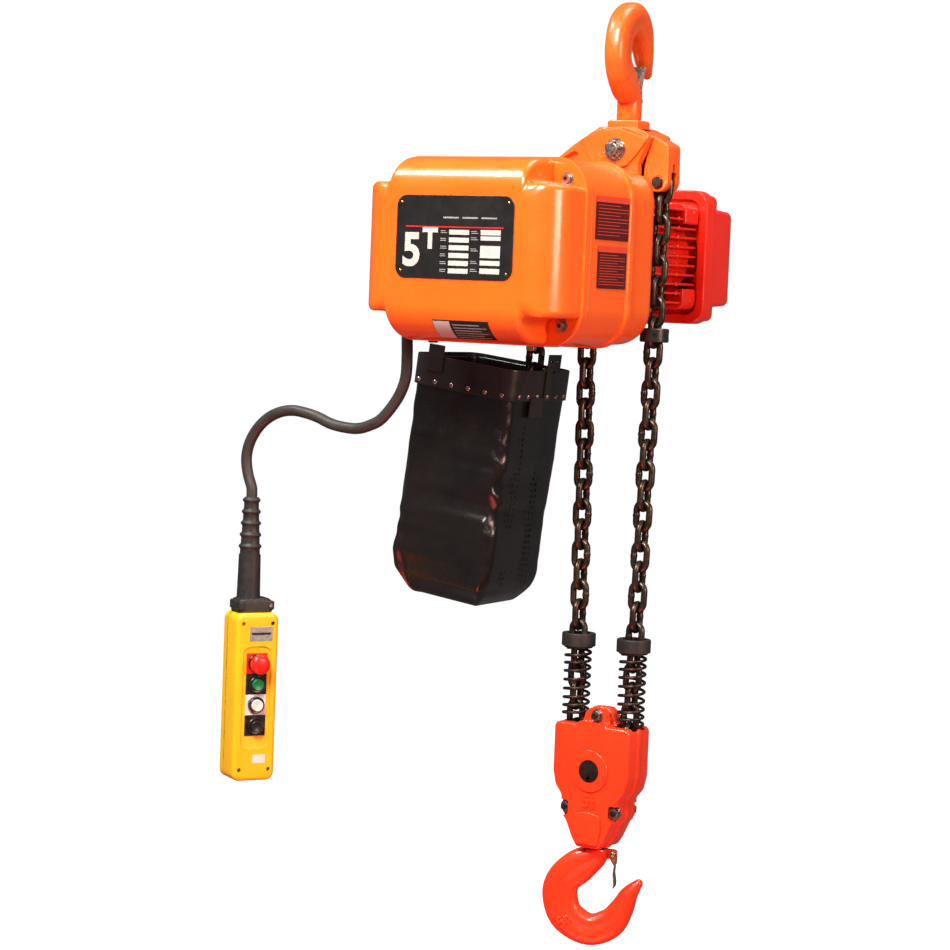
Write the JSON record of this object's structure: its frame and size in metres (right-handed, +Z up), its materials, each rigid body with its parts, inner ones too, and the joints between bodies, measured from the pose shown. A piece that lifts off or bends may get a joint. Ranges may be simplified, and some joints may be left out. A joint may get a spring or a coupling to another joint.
{
  "type": "electric chain hoist",
  "caption": "Electric chain hoist with a top hook, motor and control body, two falls of load chain, hook block, chain bag and pendant control.",
  "frame": {"origin": "inner seat of the top hook, where it hangs on a support", "axes": "+Z up along the hanging line; motor axis along Y with the nameplate facing -Y; chain falls spread along X"},
  "size_m": [0.7197, 0.7418, 1.58],
  "materials": {
    "hook_paint": "gloss paint on a forging",
    "suspension_paint": "gloss paint on a casting",
    "cover_paint": "gloss paint",
    "motor_paint": "gloss paint",
    "block_paint": "gloss paint on a casting",
    "lower_hook_paint": "gloss paint on a forging",
    "machined_steel": "machined",
    "zinc_latch": "yellow zinc",
    "chain_steel": "hardened and oiled",
    "spring_steel": "oiled",
    "black_rubber": "moulded",
    "gasket_rubber": "pale green",
    "plate_black": "black anodised",
    "band_steel": "black satin",
    "bag_vinyl": "coated, glossy",
    "pendant_yellow": "moulded",
    "stop_red": "moulded",
    "start_green": "moulded",
    "up_white": "moulded",
    "down_black": "moulded",
    "stator_winding": "laminations and windings"
  },
  "bodies": {
    "top_hook": {"top_hook": "hook_paint", "top_hook_nut": "machined_steel"},
    "top_latch": {"top_hook_latch": "zinc_latch"},
    "yoke": {"hook_yoke": "suspension_paint"},
    "hoist": {"yoke_pin": "machined_steel", "castle_nut": "machined_steel", "suspension_frame": "suspension_paint", "anchor_pin": "machined_steel", "front_cover": "cover_paint", "cover_screw_1": "machined_steel", "cover_screw_2": "machined_steel", "cover_screw_3": "machined_steel", "cover_screw_4": "machined_steel", "cover_gasket": "gasket_rubber", "control_base": "cover_paint", "gearbox_casing": "cover_paint", "sheave_housing": "motor_paint", "motor_housing": "motor_paint", "fan_cover": "motor_paint", "nameplate": "plate_black", "stator": "stator_winding", "contactor": "black_rubber", "load_chain_dead_end": "chain_steel", "load_chain_upper": "chain_steel", "stop_collar": "black_rubber", "bag_band": "band_steel", "chain_bag": "bag_vinyl", "cable_gland": "black_rubber", "pendant_cable": "black_rubber", "pendant_boot": "black_rubber", "pendant_front": "pendant_yellow", "pendant_seal": "black_rubber", "pendant_back": "pendant_yellow", "pendant_neck": "black_rubber"},
    "rotor": {"rotor_shaft": "machined_steel", "brake_disc": "machined_steel", "motor_fan": "black_rubber"},
    "counter": {"countershaft": "machined_steel"},
    "load_drive": {"load_gear": "machined_steel", "load_sheave": "machined_steel"},
    "lever": {"limit_lever": "machined_steel"},
    "block": {"block_front_half": "block_paint", "block_back_half": "block_paint", "block_bolt_top": "machined_steel", "block_bolt_left": "machined_steel", "block_bolt_right": "machined_steel", "block_axle": "machined_steel", "buffer_spring_lead": "spring_steel", "buffer_spring_dead_end": "spring_steel", "load_chain_block": "chain_steel"},
    "block_sheave": {"block_sheave": "machined_steel"},
    "lower_hook": {"bottom_hook": "lower_hook_paint", "bottom_hook_nut": "machined_steel"},
    "lower_latch": {"bottom_hook_latch": "zinc_latch"},
    "bumper_lead": {"bumper_lead": "black_rubber"},
    "bumper_dead_end": {"bumper_dead_end": "black_rubber"},
    "stop": {"emergency_stop": "stop_red"},
    "start": {"start_button": "start_green"},
    "up": {"up_button": "up_white"},
    "down": {"down_button": "down_black"}
  },
  "joints": [
    {"name": "hook_swivel", "type": "hinge", "parent": "top_hook", "child": "yoke", "pos_m": [0, 0, 0], "axis": [0, 0, 1], "continuous": true},
    {"name": "hoist_tilt", "type": "hinge", "parent": "yoke", "child": "hoist", "pos_m": [0, 0, -0.194], "axis": [0, 1, 0], "range_deg": [-6, 6]},
    {"name": "top_latch_swing", "type": "hinge", "parent": "top_hook", "child": "top_latch", "pos_m": [-0.00454, 0.02864, -0.109], "axis": [0.9877, 0.1564, 0], "range_deg": [0, 24], "stiffness_Nm_per_rad": 0.4},
    {"name": "rotor_spin", "type": "hinge", "parent": "hoist", "child": "rotor", "pos_m": [-0.108, 0, -0.37], "axis": [0, 1, 0], "continuous": true},
    {"name": "countershaft_spin", "type": "hinge", "parent": "hoist", "child": "counter", "pos_m": [-0.108, 0, -0.2996], "axis": [0, 1, 0], "continuous": true},
    {"name": "load_sheave_spin", "type": "hinge", "parent": "hoist", "child": "load_drive", "pos_m": [-0.108, 0, -0.37], "axis": [0, 1, 0], "continuous": true},
    {"name": "limit_lever_tip", "type": "hinge", "parent": "hoist", "child": "lever", "pos_m": [-0.186, 0, -0.481], "axis": [0, -1, 0], "range_deg": [0, 3], "stiffness_Nm_per_rad": 60, "springref_deg": -1.15},
    {"name": "block_lift", "type": "slide", "parent": "hoist", "child": "block", "axis": [0, 0, 1], "range_m": [0, 0.34], "deforming": ["load_chain_block", "load_chain_dead_end", "load_chain_upper"]},
    {"name": "block_sheave_spin", "type": "hinge", "parent": "block", "child": "block_sheave", "pos_m": [0, 0, -1.231], "axis": [0, 1, 0], "range_deg": [-1, 384]},
    {"name": "bumper_lead_press", "type": "slide", "parent": "block", "child": "bumper_lead", "axis": [0, 0, -1], "range_m": [0, 0.045], "stiffness_N_per_m": 1500, "springref_m": -0.002, "deforming": ["buffer_spring_lead"]},
    {"name": "bumper_dead_end_press", "type": "slide", "parent": "block", "child": "bumper_dead_end", "axis": [0, 0, -1], "range_m": [0, 0.045], "stiffness_N_per_m": 1500, "springref_m": -0.002, "deforming": ["buffer_spring_dead_end"]},
    {"name": "lower_hook_swivel", "type": "hinge", "parent": "block", "child": "lower_hook", "pos_m": [0, 0, -1.453], "axis": [0, 0, 1], "continuous": true},
    {"name": "lower_latch_swing", "type": "hinge", "parent": "lower_hook", "child": "lower_latch", "pos_m": [0.02725, 0.00992, -1.374], "axis": [-0.342, 0.9397, 0], "range_deg": [0, 24], "stiffness_Nm_per_rad": 0.4},
    {"name": "stop_press", "type": "slide", "parent": "hoist", "child": "stop", "axis": [-0.866, 0.5, 0], "range_m": [0, 0.005], "stiffness_N_per_m": 400},
    {"name": "start_press", "type": "slide", "parent": "hoist", "child": "start", "axis": [-0.866, 0.5, 0], "range_m": [0, 0.004], "stiffness_N_per_m": 400},
    {"name": "up_press", "type": "slide", "parent": "hoist", "child": "up", "axis": [-0.866, 0.5, 0], "range_m": [0, 0.004], "stiffness_N_per_m": 400},
    {"name": "down_press", "type": "slide", "parent": "hoist", "child": "down", "axis": [-0.866, 0.5, 0], "range_m": [0, 0.004], "stiffness_N_per_m": 400}
  ],
  "couplings": [
    {"joint": "countershaft_spin", "follows": "rotor_spin", "ratio": -0.33333},
    {"joint": "load_sheave_spin", "follows": "rotor_spin", "ratio": 0.11111},
    {"joint": "block_sheave_spin", "follows": "block_lift", "rad_per_m": 19.608}
  ]
}
